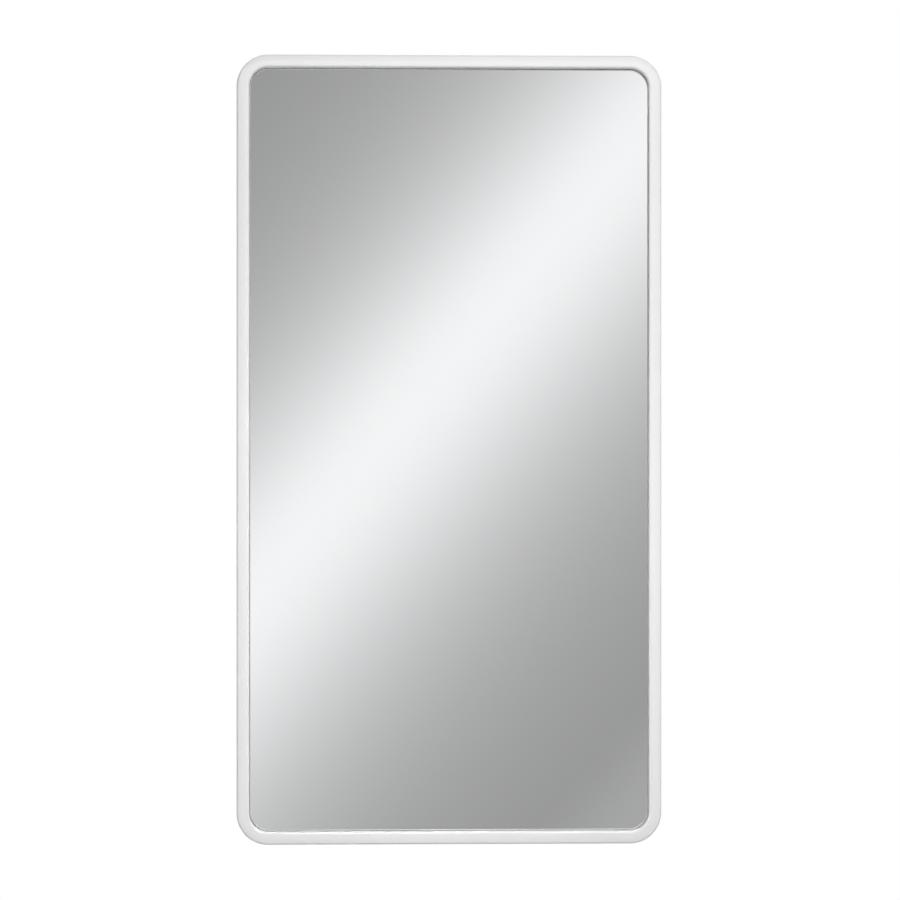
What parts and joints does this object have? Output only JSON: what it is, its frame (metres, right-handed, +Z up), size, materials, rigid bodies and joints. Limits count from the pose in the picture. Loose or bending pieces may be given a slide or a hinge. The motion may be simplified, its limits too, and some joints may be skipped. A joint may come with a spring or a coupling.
{
  "type": "wall mirror",
  "caption": "Tall rectangular wall mirror with a narrow white lacquered frame, round corners and a deep inner lip, hung on two screws by keyhole plates.",
  "frame": {"origin": "on the wall plane, midway between the entry holes of the two keyhole plates", "axes": "+Z up the mirror, +Y towards the wall, +X to the right as one looks into the glass"},
  "size_m": [0.7, 0.0285, 1.3],
  "materials": {
    "white_lacquer": "satin",
    "beech": "matte",
    "silvered_glass": "polished",
    "clear_film": "gloss",
    "foam_tape": "matte",
    "black_rubber": "matte",
    "corrugated_card": "matte",
    "hardboard": "matte",
    "zinc_plate": "satin",
    "zinc_screw": "gloss"
  },
  "bodies": {
    "frame": {"top_rail": "white_lacquer", "bottom_rail": "white_lacquer", "left_stile": "white_lacquer", "right_stile": "white_lacquer", "corner_block_top_left": "white_lacquer", "corner_block_top_right": "white_lacquer", "corner_block_bottom_left": "white_lacquer", "corner_block_bottom_right": "white_lacquer", "corner_dowels": "beech", "mirror_glass": "silvered_glass", "safety_film": "clear_film", "glazing_tape": "foam_tape", "setting_pads": "black_rubber", "packing_sheet": "corrugated_card", "backing_board": "hardboard", "turn_button_screws": "zinc_screw", "hanger_screws": "zinc_screw", "left_hanger_plate": "zinc_plate", "right_hanger_plate": "zinc_plate", "left_wall_pad": "black_rubber", "right_wall_pad": "black_rubber"},
    "turn_button_left_top": {"turn_button_left_top": "zinc_plate"},
    "turn_button_left_middle": {"turn_button_left_middle": "zinc_plate"},
    "turn_button_left_bottom": {"turn_button_left_bottom": "zinc_plate"},
    "turn_button_right_top": {"turn_button_right_top": "zinc_plate"},
    "turn_button_right_middle": {"turn_button_right_middle": "zinc_plate"},
    "turn_button_right_bottom": {"turn_button_right_bottom": "zinc_plate"},
    "turn_button_top_left": {"turn_button_top_left": "zinc_plate"},
    "turn_button_top_right": {"turn_button_top_right": "zinc_plate"},
    "turn_button_bottom_left": {"turn_button_bottom_left": "zinc_plate"},
    "turn_button_bottom_right": {"turn_button_bottom_right": "zinc_plate"}
  },
  "joints": [
    {"name": "turn_button_left_top_pivot", "type": "hinge", "parent": "frame", "child": "turn_button_left_top", "pos_m": [-0.343, -0.0065, 0.0775], "axis": [0, 1, 0], "range_deg": [-90, 90]},
    {"name": "turn_button_left_middle_pivot", "type": "hinge", "parent": "frame", "child": "turn_button_left_middle", "pos_m": [-0.343, -0.0065, -0.35], "axis": [0, 1, 0], "range_deg": [-90, 90]},
    {"name": "turn_button_left_bottom_pivot", "type": "hinge", "parent": "frame", "child": "turn_button_left_bottom", "pos_m": [-0.343, -0.0065, -0.7775], "axis": [0, 1, 0], "range_deg": [-90, 90]},
    {"name": "turn_button_right_top_pivot", "type": "hinge", "parent": "frame", "child": "turn_button_right_top", "pos_m": [0.343, -0.0065, 0.0775], "axis": [0, 1, 0], "range_deg": [-90, 90]},
    {"name": "turn_button_right_middle_pivot", "type": "hinge", "parent": "frame", "child": "turn_button_right_middle", "pos_m": [0.343, -0.0065, -0.35], "axis": [0, 1, 0], "range_deg": [-90, 90]},
    {"name": "turn_button_right_bottom_pivot", "type": "hinge", "parent": "frame", "child": "turn_button_right_bottom", "pos_m": [0.343, -0.0065, -0.7775], "axis": [0, 1, 0], "range_deg": [-90, 90]},
    {"name": "turn_button_top_left_pivot", "type": "hinge", "parent": "frame", "child": "turn_button_top_left", "pos_m": [-0.1638, -0.0065, 0.293], "axis": [0, 1, 0], "range_deg": [-90, 90]},
    {"name": "turn_button_top_right_pivot", "type": "hinge", "parent": "frame", "child": "turn_button_top_right", "pos_m": [0.1638, -0.0065, 0.293], "axis": [0, 1, 0], "range_deg": [-90, 90]},
    {"name": "turn_button_bottom_left_pivot", "type": "hinge", "parent": "frame", "child": "turn_button_bottom_left", "pos_m": [-0.1638, -0.0065, -0.993], "axis": [0, 1, 0], "range_deg": [-90, 90]},
    {"name": "turn_button_bottom_right_pivot", "type": "hinge", "parent": "frame", "child": "turn_button_bottom_right", "pos_m": [0.1638, -0.0065, -0.993], "axis": [0, 1, 0], "range_deg": [-90, 90]}
  ]
}
